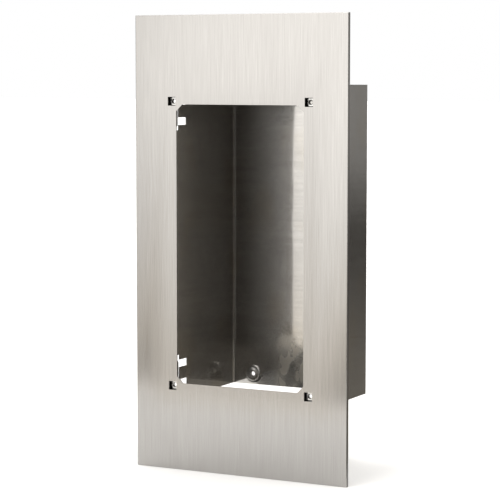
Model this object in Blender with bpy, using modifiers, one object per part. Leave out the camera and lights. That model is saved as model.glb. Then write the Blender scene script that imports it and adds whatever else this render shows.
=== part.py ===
"""Recessed standpipe cabinet: a brushed steel trim plate on an open-bottomed sheet-metal wall box.

Metres, +Z up. The plate faces -Y. The origin is the middle of the plate on the finished wall's
surface, where the plate's folded rim bears; the box goes into the wall along +Y.
"""
import math

import bmesh
import bpy
from mathutils import Matrix

# Sheet metal and fits
SHEET = 0.0015
GAP = 0.0003
BEND_RADIUS = 0.002
ARC_STEPS = 6

# Trim plate
PLATE_WIDTH = 0.314
PLATE_HEIGHT = 0.610
PLATE_DEPTH = 0.005
PLATE_EDGE_RADIUS = 0.0009
OPENING_WIDTH = 0.1888
OPENING_HEIGHT = 0.374
OPENING_CHAMFER = 0.0091

# Screw windows beyond the corners of the opening
WINDOW_SIZE = 0.0117
WINDOW_X = 0.10135
WINDOW_Z = 0.191

# Wall box
BOX_INNER_WIDTH = 0.2057
BOX_INNER_DEPTH = 0.1783
BOX_HEIGHT = 0.425
FLANGE_REACH = 0.124

# Cut-outs in the front edges of the box sides
NOTCH_DEPTH = 0.0218
NOTCH_START_Z = 0.152
SLOT_END = 0.0425
SLOT_HEIGHT = 0.0102
SLOT_CORNER = 0.002
SLOT_CENTRES_Z = (0.164, 0.191)

# Mounting holes in the back and the dished washers around them
MOUNT_HOLE_X = 0.0714
MOUNT_HOLE_Z = 0.1973
MOUNT_HOLE_RADIUS = 0.0032
WASHER_HOLE_RADIUS = 0.00295
WASHER_RADIUS = 0.013
WASHER_CREST_RADIUS = 0.0098
WASHER_HEIGHT = 0.0018
WASHER_HUB_HEIGHT = 0.0008

# Top cap
CAP_FLANGE = 0.012
CAP_FRONT_FLANGE_TOP = 0.230
CAP_FRONT_FLANGE_HALF_WIDTH = 0.084
CAP_SIDE_FLANGE_START = 0.046

# Nut brackets behind the windows
BRACKET_SHEET = 0.0012
BRACKET_INNER_X = 0.0952
BRACKET_OUTER_X = 0.119
BRACKET_LOW_Z = 0.157
BRACKET_HIGH_Z = 0.2075
BRACKET_CORNER = 0.003
POCKET_INSIDE = 0.0128
POCKET_END = 0.0125
POCKET_HOLE_RADIUS = 0.004

# Square weld nuts
NUT_WIDTH = 0.010
NUT_THICKNESS = 0.005
NUT_CORNER = 0.0006
NUT_HOLE_RADIUS = 0.0027
NUT_MOUTH_RADIUS = 0.00345

# Weld studs that hold the box to the plate
STUD_RADIUS = 0.002
STUD_LENGTH = 0.010
STUD_CLEARANCE_RADIUS = 0.0024
STUD_CHAMFER = 0.0005
SIDE_STUD_X = 0.1145
SIDE_STUD_Z = 0.112
TOP_STUD_X = 0.058
TOP_STUD_Z = 0.2215
STUD_WASHER_RADIUS = 0.0045
STUD_WASHER_THICKNESS = 0.0008
STUD_NUT_ACROSS_FLATS = 0.007
STUD_NUT_THICKNESS = 0.0032

# Depths, counted along +Y
FRONT = -PLATE_DEPTH
BEHIND_PLATE = FRONT + SHEET + GAP
BOX_BACK_INNER = FRONT + BOX_INNER_DEPTH
CUT_MARGIN = 0.002

FACING_FRONT = Matrix.Rotation(math.radians(90), 4, "X")
ALONG_X = Matrix(((0, 0, 1, 0), (1, 0, 0, 0), (0, 1, 0, 0), (0, 0, 0, 1)))

CORNERS = {"tl": (-1, 1), "tr": (1, 1), "bl": (-1, -1), "br": (1, -1)}


def clear_scene():
    for item in list(bpy.data.objects):
        bpy.data.objects.remove(item, do_unlink=True)
    for collection in list(bpy.data.collections):
        bpy.data.collections.remove(collection)


def new_collection(name):
    collection = bpy.data.collections.new(name)
    bpy.context.scene.collection.children.link(collection)
    return collection


def new_material(name, colour, roughness, metallic=1.0):
    material = bpy.data.materials.new(name)
    material.use_nodes = True
    shader = material.node_tree.nodes["Principled BSDF"]
    shader.inputs["Base Color"].default_value = (*colour, 1.0)
    shader.inputs["Roughness"].default_value = roughness
    shader.inputs["Metallic"].default_value = metallic
    return material


def object_from_bmesh(name, work, collection, smooth_angle=None):
    bmesh.ops.recalc_face_normals(work, faces=work.faces)
    mesh = bpy.data.meshes.new(name)
    work.to_mesh(mesh)
    work.free()
    if smooth_angle is not None:
        mesh.shade_smooth()
        mesh.set_sharp_from_angle(angle=math.radians(smooth_angle))
    item = bpy.data.objects.new(name, mesh)
    collection.objects.link(item)
    return item


def block(name, low, high, collection):
    """A box between two opposite corners."""
    work = bmesh.new()
    bmesh.ops.create_cube(work, size=1.0)
    size = [top - bottom for bottom, top in zip(low, high)]
    middle = [(top + bottom) / 2 for bottom, top in zip(low, high)]
    bmesh.ops.scale(work, vec=size, verts=work.verts)
    bmesh.ops.translate(work, vec=middle, verts=work.verts)
    return object_from_bmesh(name, work, collection)


def rod(name, radius, start_y, end_y, x, z, collection, segments=32, end_radius=None):
    """A round bar or a cone along +Y."""
    work = bmesh.new()
    tip_radius = radius if end_radius is None else end_radius
    bmesh.ops.create_cone(work, cap_ends=True, segments=segments, radius1=radius, radius2=tip_radius,
                          depth=end_y - start_y)
    bmesh.ops.rotate(work, matrix=Matrix.Rotation(math.radians(-90), 3, "X"), verts=work.verts)
    bmesh.ops.translate(work, vec=(x, (start_y + end_y) / 2, z), verts=work.verts)
    return object_from_bmesh(name, work, collection, smooth_angle=30)


def arc(centre, radius, start_degrees, end_degrees, steps=ARC_STEPS):
    points = []
    for step in range(steps + 1):
        angle = math.radians(start_degrees + (end_degrees - start_degrees) * step / steps)
        points.append((centre[0] + radius * math.cos(angle), centre[1] + radius * math.sin(angle)))
    return points


def rounded_rectangle(low, high, radius):
    """Outline, anticlockwise from the lower right corner."""
    left, right = low[0] + radius, high[0] - radius
    bottom, top = low[1] + radius, high[1] - radius
    return (arc((right, bottom), radius, -90, 0) + arc((right, top), radius, 0, 90)
            + arc((left, top), radius, 90, 180) + arc((left, bottom), radius, 180, 270))


def chamfered_rectangle(half_width, half_height, cut):
    return [(half_width - cut, -half_height), (half_width, cut - half_height),
            (half_width, half_height - cut), (half_width - cut, half_height),
            (cut - half_width, half_height), (-half_width, half_height - cut),
            (-half_width, cut - half_height), (cut - half_width, -half_height)]


def plate_from_outline(name, outline, thickness, placement, collection):
    """A flat outline given an even thickness, as one closed mesh."""
    curve = bpy.data.curves.new(name + "_outline", "CURVE")
    curve.dimensions = "2D"
    curve.fill_mode = "BOTH"
    curve.extrude = thickness / 2
    spline = curve.splines.new("POLY")
    spline.points.add(len(outline) - 1)
    for point, (across, up) in zip(spline.points, outline):
        point.co = (across, up, 0.0, 1.0)
    spline.use_cyclic_u = True
    guide = bpy.data.objects.new(name + "_outline", curve)
    bpy.context.scene.collection.objects.link(guide)
    guide.matrix_world = placement
    bpy.context.view_layer.update()
    evaluated = guide.evaluated_get(bpy.context.evaluated_depsgraph_get())
    work = bmesh.new()
    work.from_mesh(bpy.data.meshes.new_from_object(evaluated))
    bmesh.ops.remove_doubles(work, verts=work.verts, dist=0.00001)
    item = object_from_bmesh(name, work, collection)
    item.matrix_world = placement
    bpy.data.objects.remove(guide, do_unlink=True)
    return item


def cut(item, cutter, operation="DIFFERENCE"):
    cutter.hide_render = True
    cutter.display_type = "WIRE"
    modifier = item.modifiers.new(cutter.name, "BOOLEAN")
    modifier.operation = operation
    modifier.object = cutter


def bevel_marked_edges(item, chosen, width, segments=3):
    """Round only the edges for which chosen(first corner, second corner) is true."""
    mesh = item.data
    weights = mesh.attributes.new("bevel_weight_edge", "FLOAT", "EDGE")
    for edge in mesh.edges:
        first, second = (mesh.vertices[index].co for index in edge.vertices)
        weights.data[edge.index].value = 1.0 if chosen(first, second) else 0.0
    modifier = item.modifiers.new("rounded_edges", "BEVEL")
    modifier.limit_method = "WEIGHT"
    modifier.width = width
    modifier.segments = segments


def screw_window(corner):
    side, end = CORNERS[corner]
    return side * WINDOW_X, end * WINDOW_Z


def build_face_plate(parts, cutters, material):
    half_width, half_height = PLATE_WIDTH / 2, PLATE_HEIGHT / 2
    plate = block("face_plate", (-half_width, FRONT, -half_height), (half_width, 0, half_height), parts)

    def on_front(first, second):
        return max(first.y, second.y) < FRONT + GAP

    bevel_marked_edges(plate, on_front, PLATE_EDGE_RADIUS)
    inner_x, inner_z = half_width - SHEET, half_height - SHEET
    cut(plate, block("plate_inside", (-inner_x, FRONT + SHEET, -inner_z),
                     (inner_x, CUT_MARGIN, inner_z), cutters))
    outline = chamfered_rectangle(OPENING_WIDTH / 2, OPENING_HEIGHT / 2, OPENING_CHAMFER)
    cut(plate, plate_from_outline("plate_opening", outline, 4 * PLATE_DEPTH, FACING_FRONT, cutters))
    for corner in CORNERS:
        x, z = screw_window(corner)
        half = WINDOW_SIZE / 2
        cut(plate, block("window_" + corner, (x - half, FRONT - CUT_MARGIN, z - half),
                         (x + half, FRONT + SHEET + CUT_MARGIN, z + half), cutters))
    plate.data.materials.append(material)


def bent_path(points, radius):
    """A polyline with each inner corner replaced by an arc. All corners are square."""
    path = [points[0]]
    for before, here, after in zip(points, points[1:], points[2:]):
        arriving = [math.copysign(1.0, b - a) if abs(b - a) > GAP else 0.0 for a, b in zip(before, here)]
        leaving = [math.copysign(1.0, b - a) if abs(b - a) > GAP else 0.0 for a, b in zip(here, after)]
        centre = [h + radius * (out - into) for h, into, out in zip(here, arriving, leaving)]
        start = math.degrees(math.atan2(-leaving[1], -leaving[0]))
        turn = arriving[0] * leaving[1] - arriving[1] * leaving[0]
        path += arc(centre, radius, start, start + math.copysign(90.0, turn))
    path.append(points[-1])
    return path


def bent_sheet(name, points, low_z, high_z, collection):
    """A sheet folded along a path in the XY plane, standing between two heights."""
    path = bent_path(points, BEND_RADIUS + SHEET / 2)
    work = bmesh.new()
    corners = [work.verts.new((x, y, low_z)) for x, y in path]
    edges = [work.edges.new(pair) for pair in zip(corners, corners[1:])]
    raised = bmesh.ops.extrude_edge_only(work, edges=edges)
    top = [element for element in raised["geom"] if isinstance(element, bmesh.types.BMVert)]
    bmesh.ops.translate(work, vec=(0, 0, high_z - low_z), verts=top)
    sheet = object_from_bmesh(name, work, collection)
    solidify = sheet.modifiers.new("sheet", "SOLIDIFY")
    solidify.thickness = SHEET
    solidify.offset = 0.0
    solidify.use_even_offset = True
    return sheet


def side_stud_places():
    places = {}
    for side_name, side in (("left", -1), ("right", 1)):
        for level_name, level in (("lower", -1), ("middle", 0), ("upper", 1)):
            places[side_name + "_" + level_name] = (side * SIDE_STUD_X, level * SIDE_STUD_Z)
    return places


def top_stud_places():
    return {"top_left": (-TOP_STUD_X, TOP_STUD_Z), "top_right": (TOP_STUD_X, TOP_STUD_Z)}


def build_box_wrap(parts, cutters, material):
    side_x = BOX_INNER_WIDTH / 2 + SHEET / 2
    flange_y = BEHIND_PLATE + SHEET / 2
    back_y = BOX_BACK_INNER + SHEET / 2
    points = [(-FLANGE_REACH, flange_y), (-side_x, flange_y), (-side_x, back_y),
              (side_x, back_y), (side_x, flange_y), (FLANGE_REACH, flange_y)]
    wrap = bent_sheet("box_wrap", points, -BOX_HEIGHT / 2, BOX_HEIGHT / 2, parts)
    for corner, (side, end) in CORNERS.items():
        near, far = sorted((side * (side_x - CUT_MARGIN), side * (FLANGE_REACH + CUT_MARGIN)))
        low, high = sorted((end * NOTCH_START_Z, end * (BOX_HEIGHT / 2 + CUT_MARGIN)))
        cut(wrap, block("notch_" + corner, (near, FRONT - CUT_MARGIN, low),
                        (far, FRONT + NOTCH_DEPTH, high), cutters))
        for number, centre_z in enumerate(SLOT_CENTRES_Z, start=1):
            outline = rounded_rectangle(
                (FRONT + NOTCH_DEPTH - 2 * SLOT_CORNER, end * centre_z - SLOT_HEIGHT / 2),
                (FRONT + SLOT_END, end * centre_z + SLOT_HEIGHT / 2), SLOT_CORNER)
            placement = Matrix.Translation((side * side_x, 0, 0)) @ ALONG_X
            cut(wrap, plate_from_outline("slot_%s_%d" % (corner, number), outline, 4 * SHEET,
                                         placement, cutters))
        cut(wrap, rod("mount_hole_" + corner, MOUNT_HOLE_RADIUS, BOX_BACK_INNER - CUT_MARGIN,
                      BOX_BACK_INNER + SHEET + CUT_MARGIN, side * MOUNT_HOLE_X, end * MOUNT_HOLE_Z,
                      cutters))
    for place, (x, z) in side_stud_places().items():
        cut(wrap, rod("flange_hole_" + place, STUD_CLEARANCE_RADIUS, FRONT, 0, x, z, cutters))
    wrap.data.materials.append(material)


def build_top_cap(parts, cutters, material):
    """A tray turned upside down inside the top of the box, with a fixing flange on its front edge."""
    half_width = BOX_INNER_WIDTH / 2 - GAP
    top = BOX_HEIGHT / 2
    back = BOX_BACK_INNER - GAP
    cap = block("top_cap", (-half_width, BEHIND_PLATE, top - SHEET), (half_width, back, top), parts)

    def upright_back(first, second):
        return min(first.y, second.y) > back - GAP and abs(first.z - second.z) > GAP

    bevel_marked_edges(cap, upright_back, BEND_RADIUS + 2 * GAP)
    for side_name, side in (("left", -1), ("right", 1)):
        near, far = sorted((side * (half_width - SHEET), side * half_width))
        cut(cap, block("cap_flange_" + side_name, (near, CAP_SIDE_FLANGE_START, top - CAP_FLANGE),
                       (far, back - 2 * BEND_RADIUS, top - SHEET / 2), cutters), "UNION")
    front = block("cap_front_flange",
                  (-CAP_FRONT_FLANGE_HALF_WIDTH, BEHIND_PLATE, top - SHEET),
                  (CAP_FRONT_FLANGE_HALF_WIDTH, BEHIND_PLATE + SHEET, CAP_FRONT_FLANGE_TOP), cutters)
    cut(cap, front, "UNION")
    for place, (x, z) in top_stud_places().items():
        cut(cap, rod("cap_hole_" + place, STUD_CLEARANCE_RADIUS, FRONT, 0, x, z, cutters))
    cap.data.materials.append(material)


def build_nut_bracket(corner, parts, cutters, material):
    """A flat base behind the plate with a square pocket formed in it behind the window."""
    side, end = CORNERS[corner]
    x, z = screw_window(corner)
    near, far = sorted((side * BRACKET_INNER_X, side * BRACKET_OUTER_X))
    low, high = sorted((end * BRACKET_LOW_Z, end * BRACKET_HIGH_Z))
    base_middle = BEHIND_PLATE + BRACKET_SHEET / 2
    placement = Matrix.Translation((0, base_middle, 0)) @ FACING_FRONT
    outline = rounded_rectangle((near, low), (far, high), BRACKET_CORNER)
    bracket = plate_from_outline("nut_bracket_" + corner, outline, BRACKET_SHEET, placement, parts)
    outside = POCKET_INSIDE / 2 + BRACKET_SHEET
    pocket = block("pocket_" + corner, (x - outside, BEHIND_PLATE, z - outside),
                   (x + outside, FRONT + POCKET_END, z + outside), cutters)
    cut(bracket, pocket, "UNION")
    inside = POCKET_INSIDE / 2
    cut(bracket, block("pocket_inside_" + corner, (x - inside, FRONT, z - inside),
                       (x + inside, FRONT + POCKET_END - BRACKET_SHEET, z + inside), cutters))
    cut(bracket, rod("pocket_hole_" + corner, POCKET_HOLE_RADIUS, FRONT,
                     FRONT + POCKET_END + CUT_MARGIN, x, z, cutters))
    bracket.data.materials.append(material)


def build_weld_nut(corner, parts, cutters, material):
    """A square nut with a chamfered mouth on each side, standing on the floor of its pocket."""
    x, z = screw_window(corner)
    back = FRONT + POCKET_END - BRACKET_SHEET - GAP
    front = back - NUT_THICKNESS
    half = NUT_WIDTH / 2
    nut = block("weld_nut_" + corner, (x - half, front, z - half), (x + half, back, z + half), parts)

    def along_y(first, second):
        return abs(first.y - second.y) > GAP

    bevel_marked_edges(nut, along_y, NUT_CORNER, segments=2)
    cut(nut, rod("nut_hole_" + corner, NUT_HOLE_RADIUS, front - CUT_MARGIN, back + CUT_MARGIN, x, z,
                 cutters))
    chamfer = NUT_MOUTH_RADIUS - NUT_HOLE_RADIUS
    cut(nut, rod("nut_mouth_" + corner, NUT_MOUTH_RADIUS + chamfer, front - chamfer, front + chamfer,
                 x, z, cutters, end_radius=NUT_HOLE_RADIUS))
    nut.data.materials.append(material)


def build_hole_washer(corner, parts, material):
    """A dished ring around a mounting hole: a raised bead that falls to a low hub."""
    side, end = CORNERS[corner]
    work = bmesh.new()
    half_bead = WASHER_RADIUS - WASHER_CREST_RADIUS
    outer = [(WASHER_CREST_RADIUS + half_bead * math.sin(angle), WASHER_HEIGHT * math.cos(angle))
             for angle in (math.radians(15 * step) for step in range(7))]
    inner_width = 0.8 * half_bead
    drop = WASHER_HEIGHT - WASHER_HUB_HEIGHT
    inner = [(WASHER_CREST_RADIUS - inner_width * (1 - math.cos(angle)) - inner_width * math.sin(angle) / 2,
              WASHER_HUB_HEIGHT + drop * math.cos(angle))
             for angle in (math.radians(18 * step) for step in range(5, 0, -1))]
    rim = [(WASHER_RADIUS, 0), (WASHER_HOLE_RADIUS, 0), (WASHER_HOLE_RADIUS, WASHER_HUB_HEIGHT)]
    profile = inner + outer[:-1] + rim
    corners = [work.verts.new((radius, 0, height)) for radius, height in profile]
    for first, second in zip(corners, corners[1:] + corners[:1]):
        work.edges.new((first, second))
    washer = object_from_bmesh("hole_washer_" + corner, work, parts)
    spin = washer.modifiers.new("turned", "SCREW")
    spin.steps = 32
    spin.render_steps = 32
    spin.use_merge_vertices = True
    spin.merge_threshold = 0.00001
    spin.use_smooth_shade = True
    washer.matrix_world = Matrix.Translation(
        (side * MOUNT_HOLE_X, BOX_BACK_INNER - GAP, end * MOUNT_HOLE_Z)) @ FACING_FRONT
    washer.data.materials.append(material)


def build_stud(place, x, z, parts, material):
    stud = rod("stud_" + place, STUD_RADIUS, BEHIND_PLATE, BEHIND_PLATE + STUD_LENGTH, x, z, parts,
               segments=24)

    def on_tip(first, second):
        return min(first.y, second.y) > BEHIND_PLATE + STUD_LENGTH - GAP

    bevel_marked_edges(stud, on_tip, STUD_CHAMFER, segments=1)
    stud.data.materials.append(material)


def build_stud_washer(place, x, z, parts, cutters, material):
    front = BEHIND_PLATE + SHEET + GAP
    washer = rod("stud_washer_" + place, STUD_WASHER_RADIUS, front, front + STUD_WASHER_THICKNESS,
                 x, z, parts)
    cut(washer, rod("stud_washer_hole_" + place, STUD_RADIUS + GAP, front - CUT_MARGIN,
                    front + CUT_MARGIN, x, z, cutters, segments=24))
    washer.data.materials.append(material)


def build_stud_nut(place, x, z, parts, cutters, material):
    front = BEHIND_PLATE + SHEET + STUD_WASHER_THICKNESS + 2 * GAP
    across_corners = STUD_NUT_ACROSS_FLATS / math.cos(math.radians(30))
    nut = rod("stud_nut_" + place, across_corners / 2, front, front + STUD_NUT_THICKNESS, x, z, parts,
              segments=6)
    cut(nut, rod("stud_nut_hole_" + place, STUD_RADIUS + GAP, front - CUT_MARGIN,
                 front + STUD_NUT_THICKNESS + CUT_MARGIN, x, z, cutters, segments=24))
    nut.data.materials.append(material)


def main():
    clear_scene()
    parts = new_collection("standpipe_cabinet")
    cutters = new_collection("cutters")
    brushed = new_material("brushed_stainless", (0.62, 0.60, 0.57), 0.34)
    mill = new_material("mill_finish_stainless", (0.50, 0.49, 0.46), 0.28)
    phosphate = new_material("dark_phosphate_steel", (0.035, 0.034, 0.033), 0.5)
    zinc = new_material("bright_zinc", (0.78, 0.77, 0.74), 0.3)
    build_face_plate(parts, cutters, brushed)
    build_box_wrap(parts, cutters, mill)
    build_top_cap(parts, cutters, mill)
    for corner in CORNERS:
        build_nut_bracket(corner, parts, cutters, phosphate)
        build_weld_nut(corner, parts, cutters, zinc)
        build_hole_washer(corner, parts, mill)
    for place, (x, z) in {**side_stud_places(), **top_stud_places()}.items():
        build_stud(place, x, z, parts, zinc)
        build_stud_washer(place, x, z, parts, cutters, zinc)
        build_stud_nut(place, x, z, parts, cutters, zinc)


main()
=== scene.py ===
"""Looks for the recessed wall cabinet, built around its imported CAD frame.

The wall box and its top are cut as flat blanks and folded, the trim plate is cut from a block, hardware
carries threads, and every finish is procedural, at true scale. Metres, +Z up; the front faces -Y and the
wall box runs back along +Y.
"""
import math

import bmesh
import bpy
from mathutils import Matrix, Vector, noise


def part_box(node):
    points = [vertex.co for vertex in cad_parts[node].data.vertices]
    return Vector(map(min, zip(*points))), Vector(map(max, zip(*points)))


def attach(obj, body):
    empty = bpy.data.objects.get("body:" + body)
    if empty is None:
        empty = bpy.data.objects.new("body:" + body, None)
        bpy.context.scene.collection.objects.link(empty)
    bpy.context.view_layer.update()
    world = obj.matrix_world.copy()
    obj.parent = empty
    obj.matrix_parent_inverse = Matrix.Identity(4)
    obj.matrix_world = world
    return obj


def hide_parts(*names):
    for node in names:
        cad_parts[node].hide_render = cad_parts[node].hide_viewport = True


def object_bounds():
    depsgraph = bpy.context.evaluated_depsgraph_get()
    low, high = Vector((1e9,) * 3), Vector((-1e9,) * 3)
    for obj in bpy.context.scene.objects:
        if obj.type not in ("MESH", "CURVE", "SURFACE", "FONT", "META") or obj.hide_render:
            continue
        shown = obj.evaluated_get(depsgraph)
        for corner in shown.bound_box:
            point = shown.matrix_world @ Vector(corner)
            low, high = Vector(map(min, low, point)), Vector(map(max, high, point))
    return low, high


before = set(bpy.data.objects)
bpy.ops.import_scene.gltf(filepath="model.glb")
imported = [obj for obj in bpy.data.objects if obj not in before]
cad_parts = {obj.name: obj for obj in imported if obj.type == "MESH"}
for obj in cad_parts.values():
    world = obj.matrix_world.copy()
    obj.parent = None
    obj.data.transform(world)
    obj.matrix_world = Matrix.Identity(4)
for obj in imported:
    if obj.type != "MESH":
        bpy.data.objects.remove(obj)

CAD_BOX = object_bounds()
CORNERS = ("tl", "tr", "bl", "br")
STUD_PLACES = ("left_lower", "left_middle", "left_upper", "right_lower", "right_middle", "right_upper",
               "top_left", "top_right")

# Sheet metal
SHEET = 0.0015
BRACKET_SHEET = 0.0012
BEND_RADIUS = 0.002
BOX_BEND_RADIUS = 0.003
BEND_STEPS = 8
FIT_GAP = 0.0003
EDGE_BREAK = 0.00015
SHARP_ANGLE = math.radians(35)
SMOOTH_ANGLE = math.radians(13)
MERGE_DISTANCE = 0.000005
SLICE_TOLERANCE = 0.000002

# Trim plate
PLATE_EDGE_RADIUS = 0.0009
OPENING_SIZE = (0.1888, 0.374)
OPENING_CHAMFER = 0.0091
WINDOW_SIZE = 0.0117
WINDOW_CORNER = 0.0005
RIM_SLIT = 0.0003

# Wall box
NOTCH_DEPTH = 0.0218
NOTCH_START_Z = 0.152
SLOT_END = 0.0425
SLOT_HEIGHT = 0.0102
SLOT_CORNER = 0.002
SLOT_CENTRES_Z = (0.164, 0.191)
MOUNT_HOLE_RADIUS = 0.0032
STUD_HOLE_RADIUS = 0.0024
GRID_STEP = 0.012
WAVE_HEIGHT = 0.00018
WAVE_SCALE = 9.0
BACK_BOW = 0.00025
CALM_BESIDE_BEND = 0.02
CALM_AT_END = 0.015
BOW_FADE_AT_END = 0.1

# Top tray
TRAY_FLANGE = 0.012
TRAY_SIDE_FLANGE_START = 0.046
TRAY_FRONT_HALF_WIDTH = 0.084

# Nut pockets
POCKET_INSIDE = 0.0128
POCKET_HOLE_RADIUS = 0.004
POCKET_WALL_SLOPE = 0.0005
BRACKET_CORNER = 0.003

# Hardware: a bore or thread is its smallest and largest radius; points count once round
SQUARE_NUT = {"sides": 4, "bore": (0.0025, 0.003), "pitch": 0.001, "mouth": 0.00345, "face_radius": 0.0056,
              "corner_share": 0.94, "chamfered_back": False, "points": 64}
HEX_NUT = {"sides": 6, "bore": (0.0017, 0.00205), "pitch": 0.0007, "mouth": 0.0022, "face_radius": 0.0033,
           "corner_share": 0.985, "chamfered_back": True, "points": 72}
NUT_CHAMFER_SLOPE = math.tan(math.radians(30))
COUNTERSINK_SLOPE = 1.2
STUD_THREAD = (0.00162, 0.002)
STUD_PITCH = 0.0007
STUD_POINTS = 32
STUD_TIP_STEP = 0.0001
RINGS_PER_PITCH = 8
FLANK_SLOPE = 2.6
FLAT_CREST_SHARE = 0.15
WASHER_CLEARANCE = 0.00025
WASHER_EDGE = 0.0002
WASHER_POINTS = 56

# Dished rings
RING_HOLE_RADIUS = 0.00295
RING_HUB_SHARE = 0.6
RING_HUB_REACH = 0.32
RING_CREST_REACH = 0.75
RING_STEPS = 12
RING_POINTS = 96


def arc(centre, radius, start_degrees, end_degrees, steps=BEND_STEPS):
    points = []
    for step in range(steps + 1):
        angle = math.radians(start_degrees + (end_degrees - start_degrees) * step / steps)
        points.append((centre[0] + radius * math.cos(angle), centre[1] + radius * math.sin(angle)))
    return points


def rounded_rectangle(low, high, radius, steps=BEND_STEPS):
    """Outline, anticlockwise from the lower right corner."""
    left, right = low[0] + radius, high[0] - radius
    bottom, top = low[1] + radius, high[1] - radius
    return (arc((right, bottom), radius, -90, 0, steps) + arc((right, top), radius, 0, 90, steps)
            + arc((left, top), radius, 90, 180, steps) + arc((left, bottom), radius, 180, 270, steps))


def circle(centre, radius, steps=40):
    return arc(centre, radius, 0, 360 - 360 / steps, steps - 1)


def chamfered_rectangle(half_width, half_height, cut):
    return [(half_width - cut, -half_height), (half_width, cut - half_height),
            (half_width, half_height - cut), (half_width - cut, half_height),
            (cut - half_width, half_height), (-half_width, half_height - cut),
            (-half_width, cut - half_height), (cut - half_width, -half_height)]


def middle_of(node):
    low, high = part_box(node)
    return (low + high) / 2


def smooth_step(value):
    value = min(max(value, 0.0), 1.0)
    return value * value * (3 - 2 * value)


def piece_from_bmesh(name, work, material, slot, *nodes):
    """A finished piece: closed, shaded, given its material and riding on the frame."""
    bmesh.ops.recalc_face_normals(work, faces=work.faces)
    mesh = bpy.data.meshes.new(name)
    work.to_mesh(mesh)
    work.free()
    mesh.shade_smooth()
    mesh.set_sharp_from_angle(angle=SMOOTH_ANGLE)
    mesh.materials.append(material)
    piece = bpy.data.objects.new(name, mesh)
    bpy.context.scene.collection.objects.link(piece)
    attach(piece, "root")
    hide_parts(*nodes)
    return piece


def cut_blank(name, outline, holes, thickness):
    """A flat sheet across X and Y with its middle at Z = 0, its holes cut and its edges softened."""
    curve = bpy.data.curves.new(name, "CURVE")
    curve.dimensions = "2D"
    curve.fill_mode = "BOTH"
    curve.extrude = thickness / 2 - EDGE_BREAK
    curve.bevel_depth = EDGE_BREAK
    curve.bevel_resolution = 0
    curve.offset = -EDGE_BREAK
    for loop in [outline] + [hole[::-1] for hole in holes]:
        spline = curve.splines.new("POLY")
        spline.points.add(len(loop) - 1)
        for point, (across, up) in zip(spline.points, loop):
            point.co = (across, up, 0.0, 1.0)
        spline.use_cyclic_u = True
    guide = bpy.data.objects.new(name, curve)
    bpy.context.scene.collection.objects.link(guide)
    evaluated = guide.evaluated_get(bpy.context.evaluated_depsgraph_get())
    mesh = bpy.data.meshes.new_from_object(evaluated)
    work = bmesh.new()
    work.from_mesh(mesh)
    bmesh.ops.remove_doubles(work, verts=work.verts, dist=MERGE_DISTANCE)
    bpy.data.objects.remove(guide, do_unlink=True)
    bpy.data.meshes.remove(mesh)
    return work


def slice_sheet(work, axis, places):
    """Cuts every face at each place along an axis, so that the sheet can bend there."""
    normal = Vector((0, 0, 0))
    normal[axis] = 1.0
    for place in places:
        geometry = work.verts[:] + work.edges[:] + work.faces[:]
        bmesh.ops.bisect_plane(work, geom=geometry, plane_co=normal * place, plane_no=normal,
                               dist=SLICE_TOLERANCE)


def even_places(low, high, step):
    count = max(int(round((high - low) / step)), 1)
    return [low + (high - low) * number / count for number in range(count + 1)]


class FoldedLine:
    """The middle line of a folded sheet, seen from above: straight runs joined by square bends."""

    def __init__(self, corners, radius):
        self.radius = radius
        self.runs = []
        length = 0.0
        last = len(corners) - 2
        for number, (start, end) in enumerate(zip(corners, corners[1:])):
            direction = (Vector(end) - Vector(start)).normalized()
            first_trim = radius if number > 0 else 0.0
            straight = (Vector(end) - Vector(start)).length - first_trim - (radius if number < last else 0.0)
            self.runs.append(("run", length, straight, Vector(start) + direction * first_trim, direction))
            length += straight
            if number < last:
                following = (Vector(corners[number + 2]) - Vector(end)).normalized()
                self.runs.append(("bend", length, radius * math.pi / 2,
                                  Vector(end) + radius * (following - direction), (direction, following)))
                length += radius * math.pi / 2
        self.length = length

    def along(self, run, distance):
        """How far along the whole line a place is, given its distance from a run's first corner."""
        start = self.runs[2 * run][1]
        return start + distance - (self.radius if run > 0 else 0.0)

    def bend_places(self):
        places = []
        for kind, start, length, _, _ in self.runs:
            if kind == "bend":
                places += [start + length * step / BEND_STEPS for step in range(BEND_STEPS + 1)]
        return places

    def distance_to_bend(self, along):
        return min(max(start - along, along - start - length, 0.0)
                   for kind, start, length, _, _ in self.runs if kind == "bend")

    def place(self, along, across):
        """The point at a distance along the line and across to its left."""
        kind, start, length, origin, heading = [run for run in self.runs if run[1] <= along + 1e-9][-1]
        if kind == "run":
            left = Vector((-heading.y, heading.x))
            return origin + heading * (along - start) + left * across
        arriving, following = heading
        angle = (along - start) / self.radius
        outward = arriving * math.sin(angle) - following * math.cos(angle)
        turns_left = arriving.x * following.y - arriving.y * following.x > 0
        return origin + outward * (self.radius - across if turns_left else self.radius + across)


def boolean(item, cutter):
    modifier = item.modifiers.new(cutter.name, "BOOLEAN")
    modifier.object = cutter
    modifier.operation = "DIFFERENCE"


def guide_object(name, work):
    bmesh.ops.recalc_face_normals(work, faces=work.faces)
    mesh = bpy.data.meshes.new(name)
    work.to_mesh(mesh)
    work.free()
    item = bpy.data.objects.new(name, mesh)
    bpy.context.scene.collection.objects.link(item)
    return item


def prism(name, outline, front, back):
    """An outline in the XZ plane, extruded along Y."""
    work = bmesh.new()
    face = work.faces.new([work.verts.new((x, front, z)) for x, z in outline])
    raised = bmesh.ops.extrude_face_region(work, geom=[face])
    verts = [element for element in raised["geom"] if isinstance(element, bmesh.types.BMVert)]
    bmesh.ops.translate(work, vec=(0, back - front, 0), verts=verts)
    return guide_object(name, work)


def rectangle(low_x, low_z, high_x, high_z):
    return [(low_x, low_z), (high_x, low_z), (high_x, high_z), (low_x, high_z)]


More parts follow.
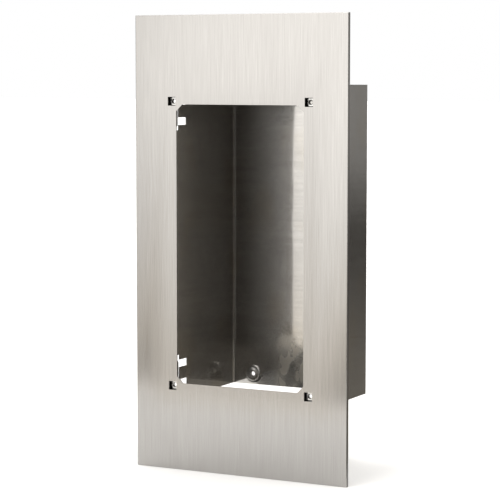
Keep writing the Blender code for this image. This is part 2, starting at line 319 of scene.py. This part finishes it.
def build_trim_plate(material):
    """The brushed plate: a shallow tray with a chamfered opening and four screw windows.

    Its cut edges come out almost sharp, because the last bevel ends far narrower than EDGE_BREAK.
    """
    low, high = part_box("face_plate")
    work = bmesh.new()
    bmesh.ops.create_cube(work, size=1.0)
    bmesh.ops.scale(work, vec=high - low, verts=work.verts)
    bmesh.ops.translate(work, vec=(low + high) / 2, verts=work.verts)
    front_edges = [edge for edge in work.edges if max(vert.co.y for vert in edge.verts) < low.y + SHEET / 2]
    bmesh.ops.bevel(work, geom=front_edges, offset=PLATE_EDGE_RADIUS, segments=BEND_STEPS, profile=0.5,
                    affect="EDGES")
    plate = guide_object("trim_plate_body", work)
    inside = prism("tray_inside", rectangle(low.x + SHEET, low.z + SHEET, high.x - SHEET, high.z - SHEET),
                   low.y + SHEET, high.y + SHEET)
    half_width, half_height = (size / 2 for size in OPENING_SIZE)
    cutters = [inside, prism("opening", chamfered_rectangle(half_width, half_height, OPENING_CHAMFER),
                             low.y - SHEET, high.y)]
    for corner in CORNERS:
        centre = middle_of("weld_nut_" + corner)
        half = WINDOW_SIZE / 2
        outline = rounded_rectangle((centre.x - half, centre.z - half), (centre.x + half, centre.z + half),
                                    WINDOW_CORNER, steps=3)
        cutters.append(prism("window_" + corner, outline, low.y - SHEET, high.y))
    for x, z in ((low.x, low.z), (high.x, low.z), (low.x, high.z), (high.x, high.z)):
        slit = prism("rim_slit", rectangle(-2 * SHEET, -RIM_SLIT / 2, 2 * SHEET, RIM_SLIT / 2),
                     low.y + SHEET, high.y + SHEET)
        turn = math.radians(-45 if x * z > 0 else 45)
        slit.matrix_world = Matrix.Translation((x, 0, z)) @ Matrix.Rotation(turn, 4, "Y")
        cutters.append(slit)
    for cutter in cutters:
        boolean(plate, cutter)
    bevel = plate.modifiers.new("broken_edges", "BEVEL")
    bevel.limit_method = "ANGLE"
    bevel.angle_limit = SHARP_ANGLE
    bevel.width = EDGE_BREAK
    bevel.segments = 1
    bpy.context.view_layer.update()
    evaluated = plate.evaluated_get(bpy.context.evaluated_depsgraph_get())
    mesh = bpy.data.meshes.new_from_object(evaluated)
    work = bmesh.new()
    work.from_mesh(mesh)
    for item in [plate] + cutters:
        bpy.data.objects.remove(item, do_unlink=True)
    return piece_from_bmesh("trim_plate", work, material, "face_plate", "face_plate")


def build_formed_box(material):
    """The wall box: one blank with notches, slots and holes, folded into two sides, a back and flanges.

    Its panels are never quite flat: all of them wave a little, and the back bows in an S from side to side.
    """
    low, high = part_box("box_wrap")
    plate_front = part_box("face_plate")[0].y
    side_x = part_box("top_cap")[1].x + FIT_GAP + SHEET / 2
    front, back = low.y + SHEET / 2, high.y - SHEET / 2
    line = FoldedLine([(low.x, front), (-side_x, front), (-side_x, back), (side_x, back), (side_x, front),
                       (high.x, front)], BOX_BEND_RADIUS + SHEET / 2)
    notch_along = line.along(1, plate_front + NOTCH_DEPTH - front)
    slot_along = line.along(1, plate_front + SLOT_END - front)
    corner_edge = [(notch_along, NOTCH_START_Z)]
    for centre_z in SLOT_CENTRES_Z:
        corner_edge.append((notch_along, centre_z - SLOT_HEIGHT / 2))
        corner_edge += arc((slot_along - SLOT_CORNER, centre_z - SLOT_HEIGHT / 2 + SLOT_CORNER), SLOT_CORNER,
                           -90, 0)
        corner_edge += arc((slot_along - SLOT_CORNER, centre_z + SLOT_HEIGHT / 2 - SLOT_CORNER), SLOT_CORNER,
                           0, 90)
        corner_edge.append((notch_along, centre_z + SLOT_HEIGHT / 2))
    corner_edge.append((notch_along, high.z))
    upper_left = [(0.0, NOTCH_START_Z)] + corner_edge
    upper_right = [(line.length - along, up) for along, up in reversed(upper_left)]
    lower = [(along, -up) for along, up in reversed(upper_left + upper_right)]
    outline = (upper_left + upper_right + lower)[::-1]
    back_middle = line.along(2, side_x)
    back_start, back_end = line.along(2, 0.0), line.along(2, 2 * side_x)
    holes = []
    for corner in CORNERS:
        centre = middle_of("hole_washer_" + corner)
        holes.append(circle((back_middle + centre.x, centre.z), MOUNT_HOLE_RADIUS))
    for place in STUD_PLACES[:6]:
        centre = middle_of("stud_" + place)
        along = centre.x - low.x if centre.x < 0 else line.length - (high.x - centre.x)
        holes.append(circle((along, centre.z), STUD_HOLE_RADIUS))
    work = cut_blank("box_blank", outline, holes, SHEET)
    slice_sheet(work, 0, line.bend_places() + even_places(0, line.length, GRID_STEP))
    slice_sheet(work, 1, even_places(low.z, high.z, GRID_STEP))
    for vert in work.verts:
        along, up, across = vert.co
        to_end = high.z - abs(up)
        calm = smooth_step(line.distance_to_bend(along) / CALM_BESIDE_BEND)
        calm *= smooth_step(to_end / CALM_AT_END)
        wave = (noise.noise(Vector((along, up, 0)) * WAVE_SCALE) - 1.0) * WAVE_HEIGHT / 2
        turn = (along - back_start) / (back_end - back_start)
        if 0.0 < turn < 1.0:
            wave -= (1.0 + math.sin(math.tau * turn)) * BACK_BOW * smooth_step(to_end / BOW_FADE_AT_END)
        x, y = line.place(along, across + calm * wave)
        vert.co = (x, y, up)
    return piece_from_bmesh("formed_box", work, material, "box", "box_wrap")


def build_top_tray(material):
    """The closed top: a sheet with its side flanges folded down and its fixing flange folded up."""
    low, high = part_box("top_cap")
    flange_top = high.z
    roof_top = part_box("box_wrap")[1].z
    middle_z = roof_top - SHEET / 2
    bend = BEND_RADIUS + SHEET / 2
    quarter = bend * math.pi / 2
    side_edge = high.x - SHEET / 2
    side_reach = side_edge - bend + quarter + (TRAY_FLANGE - SHEET / 2 - bend)
    front_edge = low.y + SHEET / 2
    front_reach = front_edge + bend - quarter - (flange_top - middle_z - bend)
    half_front = TRAY_FRONT_HALF_WIDTH
    back = high.y - 2 * BEND_RADIUS
    side_roof = side_edge - bend
    right = [(half_front, front_reach), (half_front, front_edge + bend), (side_roof, front_edge + bend),
             (side_roof, TRAY_SIDE_FLANGE_START), (side_reach, TRAY_SIDE_FLANGE_START), (side_reach, back),
             (side_roof, back), (side_roof, high.y)]
    outline = right + [(-x, y) for x, y in reversed(right)]
    hole_y = front_edge + bend - quarter - (middle_of("stud_top_left").z - middle_z - bend)
    holes = [circle((middle_of("stud_" + place).x, hole_y), STUD_HOLE_RADIUS) for place in STUD_PLACES[6:]]
    work = cut_blank("tray_blank", outline, holes, SHEET)
    fold_steps = [quarter * step / BEND_STEPS for step in range(BEND_STEPS + 1)]
    side_folds = [side_roof + step for step in fold_steps]
    slice_sheet(work, 0, [-place for place in side_folds] + side_folds)
    slice_sheet(work, 1, [front_edge + bend - step for step in fold_steps])
    for vert in work.verts:
        x, y, across = vert.co
        side = 1 if x > 0 else -1
        past_side, past_front = abs(x) - side_roof, front_edge + bend - y
        z = middle_z + across
        if past_side > 0 and y > TRAY_SIDE_FLANGE_START - SHEET:
            angle = min(past_side, quarter) / bend
            x = side * (side_roof + (bend + across) * math.sin(angle))
            z = middle_z - bend + (bend + across) * math.cos(angle) - max(past_side - quarter, 0.0)
        if past_front > 0:
            angle = min(past_front, quarter) / bend
            y = front_edge + bend - (bend - across) * math.sin(angle)
            z = middle_z + bend - (bend - across) * math.cos(angle) + max(past_front - quarter, 0.0)
        vert.co = (x, y, z)
    return piece_from_bmesh("top_tray", work, material, "box", "top_cap")


def build_pocket_bracket(corner, material):
    """A bracket with a square pocket drawn in it, which holds the nut behind its window; its near-black
    colour is painted shade for the pocket.
    """
    low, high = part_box("nut_bracket_" + corner)
    centre = middle_of("weld_nut_" + corner)
    work = cut_blank("bracket_blank", rounded_rectangle((low.x, low.z), (high.x, high.z), BRACKET_CORNER),
                     [circle((centre.x, centre.z), POCKET_HOLE_RADIUS)], BRACKET_SHEET)
    half = POCKET_INSIDE / 2 + BRACKET_SHEET / 2
    wall_steps = [POCKET_WALL_SLOPE * (step / 3 - 1) for step in range(7)]
    for axis, middle in ((0, centre.x), (1, centre.z)):
        places = [middle + side * (half + step) for side in (-1, 1) for step in wall_steps]
        slice_sheet(work, axis, places)
    depth = high.y - low.y - BRACKET_SHEET
    for vert in work.verts:
        x, z, across = vert.co
        outside = max(abs(x - centre.x), abs(z - centre.z)) - half
        sink = 1 - smooth_step((outside + POCKET_WALL_SLOPE) / (2 * POCKET_WALL_SLOPE))
        vert.co = (x, low.y + BRACKET_SHEET / 2 + across + depth * sink, z)
    return piece_from_bmesh("pocket_bracket_" + corner, work, material, "bracket", "nut_bracket_" + corner)


def ring_solid(rings, count, capped=False):
    """A closed solid from rings of points round an axis along Y, capped at its ends or joined in a loop."""
    work = bmesh.new()
    made = [[work.verts.new(point) for point in points] for points in rings]
    following = made[1:] if capped else made[1:] + made[:1]
    for first, second in zip(made, following):
        for number in range(count):
            after = (number + 1) % count
            work.faces.new((first[number], first[after], second[after], second[number]))
    if capped:
        work.faces.new(made[0])
        work.faces.new(made[-1])
    return work


def ring(centre, radius_at, y, count):
    """A ring of points around an axis along Y. radius_at gives the radius at an angle."""
    points = []
    for number in range(count):
        angle = math.tau * number / count
        radius = radius_at(angle)
        points.append((centre.x + radius * math.cos(angle), y, centre.z + radius * math.sin(angle)))
    return points


def thread_radius(radii, pitch, along, angle):
    """The radius of a 60-degree thread: straight flanks between a flat root and a flat crest."""
    minor, major = radii
    turn = (along / pitch - angle / math.tau) % 1.0
    flank = min(max(FLANK_SLOPE * abs(turn - 0.5) - FLAT_CREST_SHARE, 0.0), 1.0)
    return major - (major - minor) * flank


def thread_rings(centre, radii, pitch, start, end, count, limit):
    """Rings of a thread between two depths; limit cuts its radius at a depth, as a chamfer does."""
    steps = max(int((end - start) / pitch * RINGS_PER_PITCH), 2)
    rings = []
    for step in range(steps + 1):
        y = start + (end - start) * step / steps
        rings.append(ring(centre, lambda angle: limit(y, thread_radius(radii, pitch, y, angle)), y, count))
    return rings


def threaded_nut(name, node, kind, material):
    """A nut: flats with turned corners and chamfers around a threaded bore with countersunk mouths."""
    low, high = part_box(node)
    centre = (low + high) / 2
    count, face_radius = kind["points"], kind["face_radius"]
    apothem = (high.x - low.x) / 2
    part = math.tau / kind["sides"]
    corner_limit = apothem / math.cos(part / 2) * kind["corner_share"]

    def outside(angle):
        off_flat = (angle + part / 2) % part - part / 2
        return min(apothem / math.cos(off_flat), corner_limit)

    def bevelled_ring(face_y, inward):
        points = []
        for number in range(count):
            angle = math.tau * number / count
            radius = outside(angle)
            y = face_y + inward * max(radius - face_radius, 0.0) * NUT_CHAMFER_SLOPE
            points.append((centre.x + radius * math.cos(angle), y, centre.z + radius * math.sin(angle)))
        return points

    def countersink(y, radius):
        return max(radius, kind["mouth"] - min(y - low.y, high.y - y) * COUNTERSINK_SLOPE)

    rings = thread_rings(centre, kind["bore"], kind["pitch"], low.y, high.y, count, countersink)
    if kind["chamfered_back"]:
        rings.append(ring(centre, lambda angle: min(outside(angle), face_radius), high.y, count))
        rings.append(bevelled_ring(high.y, -1))
    else:
        rings.append(ring(centre, lambda angle: outside(angle) - EDGE_BREAK, high.y, count))
        rings.append(ring(centre, outside, high.y - EDGE_BREAK, count))
    rings.append(bevelled_ring(low.y, 1))
    rings.append(ring(centre, lambda angle: min(outside(angle), face_radius), low.y, count))
    return piece_from_bmesh(name, ring_solid(rings, count), material, "fastener", node)


def build_threaded_stud(place, material):
    """A stud threaded over its whole length, with its free end chamfered."""
    node = "stud_" + place
    low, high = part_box(node)

    def pointed(y, radius):
        return min(radius, STUD_THREAD[0] - STUD_TIP_STEP + (high.y - y))

    rings = thread_rings((low + high) / 2, STUD_THREAD, STUD_PITCH, low.y, high.y, STUD_POINTS, pointed)
    work = ring_solid(rings, STUD_POINTS, capped=True)
    return piece_from_bmesh("threaded_stud_" + place, work, material, "fastener", node)


def build_flat_washer(place, material):
    """A stamped washer with its edges rolled over."""
    node = "stud_washer_" + place
    low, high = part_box(node)
    centre = (low + high) / 2
    outer, inner = (high.x - low.x) / 2, STUD_THREAD[1] + WASHER_CLEARANCE
    soft = WASHER_EDGE
    profile = [(inner + soft, low.y), (outer - soft, low.y), (outer - soft / 3, low.y + soft / 3),
               (outer, low.y + soft), (outer, high.y - soft), (outer - soft / 3, high.y - soft / 3),
               (outer - soft, high.y), (inner + soft / 2, high.y), (inner, high.y - soft / 2),
               (inner, low.y + soft)]
    rings = [ring(centre, lambda angle, r=radius: r, y, WASHER_POINTS) for radius, y in profile]
    work = ring_solid(rings, WASHER_POINTS)
    return piece_from_bmesh("flat_washer_" + place, work, material, "fastener", node)


def build_dished_ring(corner, material):
    """The pressed ring round a mounting hole: a raised bead that falls to a low hub, one even sheet."""
    node = "hole_washer_" + corner
    low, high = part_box(node)
    centre = (low + high) / 2
    outer = (high.x - low.x) / 2
    height = high.y - low.y
    hub, hub_reach, crest_reach = RING_HUB_SHARE * height, RING_HUB_REACH * outer, RING_CREST_REACH * outer
    profile = []
    for step in range(RING_STEPS + 1):
        angle = math.radians(90 * step / RING_STEPS)
        profile.append((crest_reach + (outer - crest_reach) * math.sin(angle), height * math.cos(angle)))
    hole = RING_HOLE_RADIUS
    profile += [(hole, 0.0), (hole, hub - EDGE_BREAK), (hole + EDGE_BREAK, hub)]
    for step in range(RING_STEPS):
        share = step / RING_STEPS
        profile.append((hub_reach + (crest_reach - hub_reach) * share,
                        hub + (height - hub) * smooth_step(share)))
    rings = [ring(centre, lambda angle, r=radius: r, high.y - rise, RING_POINTS) for radius, rise in profile]
    work = ring_solid(rings, RING_POINTS)
    return piece_from_bmesh("dished_ring_" + corner, work, material, "box", node)


class NodeTree:
    """What finishes and the studio light share: a node tree, and sums and ramps made of its nodes."""

    def calculate(self, operation, first, second):
        node = self.tree.nodes.new("ShaderNodeMath")
        node.operation = operation
        for socket, value in zip(node.inputs, (first, second)):
            if isinstance(value, (float, int)):
                socket.default_value = value
            else:
                self.tree.links.new(value, socket)
        return node.outputs["Value"]

    def remap(self, value, from_low, from_high, to_low=0.0, to_high=1.0, smooth=False):
        node = self.tree.nodes.new("ShaderNodeMapRange")
        node.interpolation_type = "SMOOTHSTEP" if smooth else "LINEAR"
        for name, number in zip(("From Min", "From Max", "To Min", "To Max"),
                                (from_low, from_high, to_low, to_high)):
            node.inputs[name].default_value = number
        self.tree.links.new(value, node.inputs["Value"])
        return node.outputs["Result"]

    def mix(self, kind, factor, first, second):
        """A blend of two colours or vectors; each is a tuple, or another node's output."""
        node = self.tree.nodes.new("ShaderNodeMix")
        node.data_type = kind
        sockets = [socket for socket in node.inputs if socket.type == kind][-2:]
        for socket, value in zip(sockets, (first, second)):
            if isinstance(value, tuple):
                socket.default_value = value
            else:
                self.tree.links.new(value, socket)
        self.tree.links.new(factor, node.inputs["Factor"])
        return [socket for socket in node.outputs if socket.type == kind][0]


class Finish(NodeTree):
    """A procedural metal finish. Textures are laid out in object space, so their sizes are in metres."""

    def __init__(self, name, metallic, anisotropic=0.0):
        self.material = bpy.data.materials.new(name)
        self.material.use_nodes = True
        self.tree = self.material.node_tree
        self.shader = self.tree.nodes["Principled BSDF"]
        self.shader.inputs["Metallic"].default_value = metallic
        self.shader.inputs["Anisotropic"].default_value = anisotropic
        self.place = self.tree.nodes.new("ShaderNodeTexCoord").outputs["Object"]

    def grain(self, size, stretch=1.0, detail=2.0, distortion=0.0):
        """Noise whose features are about size across and stretch times longer along Z."""
        mapping = self.tree.nodes.new("ShaderNodeMapping")
        mapping.inputs["Scale"].default_value = (1 / size, 1 / size, 1 / (size * stretch))
        texture = self.tree.nodes.new("ShaderNodeTexNoise")
        texture.inputs["Scale"].default_value = 1.0
        texture.inputs["Detail"].default_value = detail
        texture.inputs["Distortion"].default_value = distortion
        self.tree.links.new(self.place, mapping.inputs["Vector"])
        self.tree.links.new(mapping.outputs["Vector"], texture.inputs["Vector"])
        return texture.outputs["Fac"]

    def along(self, axis):
        """The position along one axis of the shared frame, in metres."""
        split = self.tree.nodes.new("ShaderNodeSeparateXYZ")
        self.tree.links.new(self.place, split.inputs["Vector"])
        return split.outputs[axis]

    def blend(self, layers):
        """The weighted sum of some noises, each centred on zero, around one half."""
        total = 0.5
        for layer, weight in layers:
            centred = self.remap(layer, 0.25, 0.75, -weight, weight)
            total = self.calculate("ADD", centred, total)
        return total

    def mix_colours(self, factor, first, second):
        first, second = ((*value, 1.0) if isinstance(value, tuple) else value for value in (first, second))
        return self.mix("RGBA", factor, first, second)

    def colour(self, value):
        self.tree.links.new(value, self.shader.inputs["Base Color"])

    def metallic(self, value):
        self.tree.links.new(value, self.shader.inputs["Metallic"])

    def roughness(self, value):
        self.tree.links.new(value, self.shader.inputs["Roughness"])

    def bumps(self, layers):
        """Surface relief: each layer is a height pattern and its depth in metres."""
        normal = None
        for pattern, depth in layers:
            node = self.tree.nodes.new("ShaderNodeBump")
            node.inputs["Strength"].default_value = 1.0
            node.inputs["Distance"].default_value = depth
            self.tree.links.new(pattern, node.inputs["Height"])
            if normal is not None:
                self.tree.links.new(normal, node.inputs["Normal"])
            normal = node.outputs["Normal"]
        self.tree.links.new(normal, self.shader.inputs["Normal"])


# Where the handling film starts and is full, on each axis of the shared frame
FILM_LIMITS = (("X", -0.05, -0.02), ("X", 0.060, 0.035), ("Z", -0.12, -0.165))


def brushed_stainless():
    """Satin plate: fine vertical scratches, broader bands, and faint cloudiness from handling."""
    finish = Finish("brushed_stainless", 1.0, anisotropic=0.5)
    hairs = finish.grain(0.00045, stretch=110, detail=2)
    streaks = finish.grain(0.0016, stretch=60, detail=2)
    bands = finish.grain(0.009, stretch=40, detail=2)
    clouds = finish.grain(0.11, detail=3)
    tone = finish.blend([(hairs, 0.30), (streaks, 0.19), (bands, 0.07), (clouds, 0.06)])
    finish.colour(finish.mix_colours(tone, (0.437, 0.421, 0.404), (0.575, 0.562, 0.545)))
    finish.roughness(finish.remap(finish.blend([(streaks, 0.1), (clouds, 0.2)]), 0.0, 1.0, 0.18, 0.25))
    finish.bumps([(hairs, 0.0000008), (streaks, 0.0000016)])
    return finish.material


def mill_stainless(name, anisotropic, smooth, rough):
    """Rolled sheet as it left the mill: a soft mirror with mottling, smears and faint rolling lines.

    Pores too fine to see mix a glossy and a hazy surface. Handling has left a dull film low on the back.
    """
    finish = Finish(name, 1.0, anisotropic)
    mottle = finish.grain(0.016, detail=3)
    smears = finish.grain(0.05, stretch=2.0, detail=2)
    rolling = finish.grain(0.11, stretch=0.035, detail=2)
    pores = finish.grain(0.00025, detail=0)
    stain = finish.remap(finish.grain(0.06, stretch=1.5, detail=2), 0.5, 0.72, 0.0, 0.6, smooth=True)
    film = finish.remap(finish.grain(0.022, stretch=1.4, detail=4), 0.28, 0.62, smooth=True)
    for axis, clean, covered in FILM_LIMITS:
        inside = finish.remap(finish.along(axis), clean, covered, smooth=True)
        film = finish.calculate("MULTIPLY", film, inside)
    tone = finish.blend([(mottle, 0.16), (smears, 0.24), (rolling, 0.32)])
    metal = finish.mix_colours(tone, (0.590, 0.572, 0.545), (0.710, 0.693, 0.666))
    finish.colour(finish.mix_colours(finish.calculate("MAXIMUM", stain, film), metal, (0.63, 0.585, 0.51)))
    finish.metallic(finish.remap(film, 0.0, 1.0, 1.0, 0.6))
    gloss = finish.calculate("MULTIPLY", finish.remap(pores, 0.48, 0.54, smooth, rough),
                             finish.remap(rolling, 0.3, 0.7, 0.95, 1.05))
    finish.roughness(finish.calculate("MAXIMUM", gloss, finish.calculate("MULTIPLY", film, 0.38)))
    finish.bumps([(smears, 0.00012)])
    return finish.material


def phosphate_painted_shade():
    """Phosphated steel, matt, with fine crystals and slightly rubbed high spots; its near-black colour is
    painted shade, so the nut pockets look deep and unlit.
    """
    finish = Finish("phosphate_painted_shade", 0.65)
    crystals = finish.grain(0.0005, detail=4)
    patches = finish.grain(0.006, detail=3)
    tone = finish.blend([(crystals, 0.3), (patches, 0.25)])
    # Painted shade: this near-black colour makes the lit inner walls of each nut pocket look unlit.
    finish.colour(finish.mix_colours(tone, (0.045, 0.042, 0.039), (0.115, 0.108, 0.100)))
    finish.roughness(finish.remap(tone, 0.0, 1.0, 0.42, 0.68))
    finish.bumps([(crystals, 0.00002)])
    return finish.material


def bright_zinc():
    """Zinc plate on hardware: bright, slightly clouded, with a trace of yellow in places."""
    finish = Finish("bright_zinc", 1.0)
    grains = finish.grain(0.0006, detail=3)
    clouds = finish.grain(0.003, detail=3)
    tone = finish.blend([(grains, 0.2), (clouds, 0.3)])
    metal = finish.mix_colours(tone, (0.66, 0.65, 0.63), (0.88, 0.88, 0.87))
    tint = finish.remap(finish.grain(0.004, detail=2), 0.5, 0.8, 0.0, 0.3, smooth=True)
    finish.colour(finish.mix_colours(tint, metal, (0.80, 0.74, 0.60)))
    finish.roughness(finish.remap(tone, 0.0, 1.0, 0.18, 0.34))
    finish.bumps([(grains, 0.000008)])
    return finish.material


def paper(name, level):
    """Plain studio floor paper with the faintest tooth."""
    finish = Finish(name, 0.0)
    tooth = finish.grain(0.002, detail=3)
    finish.colour(finish.mix_colours(tooth, (level - 0.02,) * 3, (level + 0.02,) * 3))
    finish.roughness(finish.remap(tooth, 0.0, 1.0, 0.85, 0.95))
    finish.shader.inputs["Specular IOR Level"].default_value = 0.1
    return finish.material


# Studio: directions are in degrees; azimuth 0 looks from the front and grows to the right
CAMERA_AZIMUTH = 27.626
CAMERA_HEIGHT_ANGLE = 5.290
CAMERA_DISTANCE = 2.5234
CAMERA_LENS = 138.6
CAMERA_AIM = (0.01635, 0.0, -0.00262)
SEEN_FLOOR_TONE = 0.90
NEAR_FLOOR = ((-0.75, -0.45), (0.22, 0.50))
FAR_FLOOR_REACH = 30.0
DARK_FLOOR_END = 0.105
FLOOR_GAP = 0.001
SOFTBOX_AZIMUTHS = (-44, -36, -8, 8)
SOFTBOX_LAYERS = ((0.97, (-12.5, -11)), (0.23, (-10.5, -7.5)), (0.22, (-7, -3)), (0.34, (-2.8, -0.4)))
PATCH_TOP = (35, 60)
OVERHEAD_LEVEL = 4.6
WARM_HEIGHTS = (-9, -5)
LOW_TINT = (1.0, 0.93, 0.82)
HIGH_TINT = (1.0, 0.985, 0.96)
SHADE_LEVEL = (0.025, 0.022, 0.019)


def build_floor(name, low, high, height, material):
    work = bmesh.new()
    bmesh.ops.create_grid(work, x_segments=8, y_segments=8, size=0.5)
    bmesh.ops.scale(work, vec=(high[0] - low[0], high[1] - low[1], 1.0), verts=work.verts)
    bmesh.ops.translate(work, vec=((low[0] + high[0]) / 2, (low[1] + high[1]) / 2, height), verts=work.verts)
    floor = guide_object(name, work)
    floor.data.materials.append(material)
    return floor


def build_camera():
    data = bpy.data.cameras.new("camera")
    data.lens = CAMERA_LENS
    camera = bpy.data.objects.new("camera", data)
    bpy.context.scene.collection.objects.link(camera)
    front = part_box("face_plate")[0].y
    aim = Vector(CAMERA_AIM) + Vector((0, front, 0))
    azimuth, height = math.radians(CAMERA_AZIMUTH), math.radians(CAMERA_HEIGHT_ANGLE)
    away = Vector((math.sin(azimuth) * math.cos(height), -math.cos(azimuth) * math.cos(height),
                   math.sin(height)))
    camera.location = aim + away * CAMERA_DISTANCE
    camera.rotation_euler = (-away).to_track_quat("-Z", "Y").to_euler()
    bpy.context.scene.camera = camera


class Sky(NodeTree):
    """Soft studio light as smooth patches of brightness around the object."""

    def __init__(self):
        world = bpy.data.worlds.new("studio")
        bpy.context.scene.world = world
        world.use_nodes = True
        self.tree = world.node_tree
        self.background = self.tree.nodes["Background"]
        direction = self.tree.nodes.new("ShaderNodeTexCoord").outputs["Generated"]
        split = self.tree.nodes.new("ShaderNodeSeparateXYZ")
        self.tree.links.new(direction, split.inputs["Vector"])
        backwards = self.calculate("MULTIPLY", split.outputs["Y"], -1.0)
        turn = self.calculate("ARCTAN2", split.outputs["X"], backwards)
        self.azimuth = self.calculate("MULTIPLY", turn, 180 / math.pi)
        rise = self.calculate("ARCSINE", split.outputs["Z"], 0.0)
        self.height = self.calculate("MULTIPLY", rise, 180 / math.pi)
        self.total = None

    def patch(self, level, azimuths, heights):
        """Adds a soft patch. Each set of limits is (dark, bright, bright, dark) in degrees."""
        amount = level
        for angle, limits in ((self.azimuth, azimuths), (self.height, heights)):
            for dark, bright in (limits[:2], limits[:1:-1]):
                amount = self.calculate("MULTIPLY", self.remap(angle, dark, bright, smooth=True), amount)
        self.add(amount)

    def overhead(self, level, start, end):
        self.add(self.calculate("MULTIPLY", self.remap(self.height, start, end, smooth=True), level))

    def add(self, amount):
        self.total = amount if self.total is None else self.calculate("ADD", self.total, amount)

    def light(self, low_tint, high_tint, shade):
        """Shows the patches over the shade to the object, and plain white paper behind it."""
        tint = self.mix("VECTOR", self.remap(self.height, *WARM_HEIGHTS, smooth=True), low_tint, high_tint)
        patches = self.tree.nodes.new("ShaderNodeVectorMath")
        patches.operation = "SCALE"
        self.tree.links.new(tint, patches.inputs[0])
        self.tree.links.new(self.total, patches.inputs["Scale"])
        colour = self.tree.nodes.new("ShaderNodeVectorMath")
        colour.operation = "ADD"
        colour.inputs[1].default_value = shade
        self.tree.links.new(patches.outputs["Vector"], colour.inputs[0])
        self.tree.links.new(colour.outputs["Vector"], self.background.inputs["Color"])
        paper_light = self.tree.nodes.new("ShaderNodeBackground")
        paper_light.inputs["Color"].default_value = (1.0, 1.0, 1.0, 1.0)
        rays = self.tree.nodes.new("ShaderNodeLightPath")
        choice = self.tree.nodes.new("ShaderNodeMixShader")
        self.tree.links.new(rays.outputs["Is Camera Ray"], choice.inputs["Fac"])
        self.tree.links.new(self.background.outputs["Background"], choice.inputs[1])
        self.tree.links.new(paper_light.outputs["Background"], choice.inputs[2])
        self.tree.links.new(choice.outputs["Shader"], self.tree.nodes["World Output"].inputs["Surface"])


def build_light():
    sky = Sky()
    for level, (dark, bright) in SOFTBOX_LAYERS:
        sky.patch(level, SOFTBOX_AZIMUTHS, (dark, bright, *PATCH_TOP))
    sky.patch(0.45, (-16, -8, 0, 10), (-11, -9, *PATCH_TOP))
    sky.patch(0.50, (46, 66, 105, 122), (-14, -6, 40, 60))
    sky.patch(0.26, (120, 135, 172, 179), (-5.0, -2.0, 30, 60))
    sky.patch(0.15, (100, 120, 172, 179), (-50, -40, -10, -4))
    sky.patch(0.45, (-150, -135, -100, -80), (-14, -4, *PATCH_TOP))
    sky.overhead(OVERHEAD_LEVEL, 40, 75)
    sky.light(LOW_TINT, HIGH_TINT, SHADE_LEVEL)


def build_studio():
    """The camera and light, a white floor that only the camera sees, and dimmer ones for reflections."""
    bpy.context.scene.view_settings.view_transform = "Standard"
    bottom = CAD_BOX[0].z
    reach = FAR_FLOOR_REACH
    seen = build_floor("seen_floor", (-reach, -reach), (reach, reach), bottom,
                       paper("white_paper", SEEN_FLOOR_TONE))
    seen.visible_glossy = seen.visible_diffuse = seen.visible_shadow = False
    (left, front), (right, back) = NEAR_FLOOR
    floors = (("front_floor", (left, front), (right, 0.0), 0.72),
              ("right_back_floor", (DARK_FLOOR_END, 0.0), (right, back), 0.28),
              ("left_back_floor", (left, 0.0), (DARK_FLOOR_END, back), 0.04))
    for name, low, high, tone in floors:
        mirrored = build_floor(name, low, high, bottom - FLOOR_GAP, paper("paper_for_" + name, tone))
        mirrored.visible_camera = False
    build_camera()
    build_light()


def build_cabinet():
    build_trim_plate(brushed_stainless())
    build_formed_box(mill_stainless("mill_stainless", 0.7, 0.05, 0.30))
    build_top_tray(mill_stainless("mill_stainless_even", 0.0, 0.07, 0.28))
    pressed = mill_stainless("mill_stainless_pressed", 0.0, 0.22, 0.36)
    # The pocket brackets' near-black finish is painted shade inside the pockets behind the windows.
    phosphate_shade, zinc = phosphate_painted_shade(), bright_zinc()
    for corner in CORNERS:
        build_pocket_bracket(corner, phosphate_shade)
        build_dished_ring(corner, pressed)
        threaded_nut("square_nut_" + corner, "weld_nut_" + corner, SQUARE_NUT, zinc)
    for place in STUD_PLACES:
        build_threaded_stud(place, zinc)
        build_flat_washer(place, zinc)
        threaded_nut("hex_nut_" + place, "stud_nut_" + place, HEX_NUT, zinc)


build_cabinet()
build_studio()
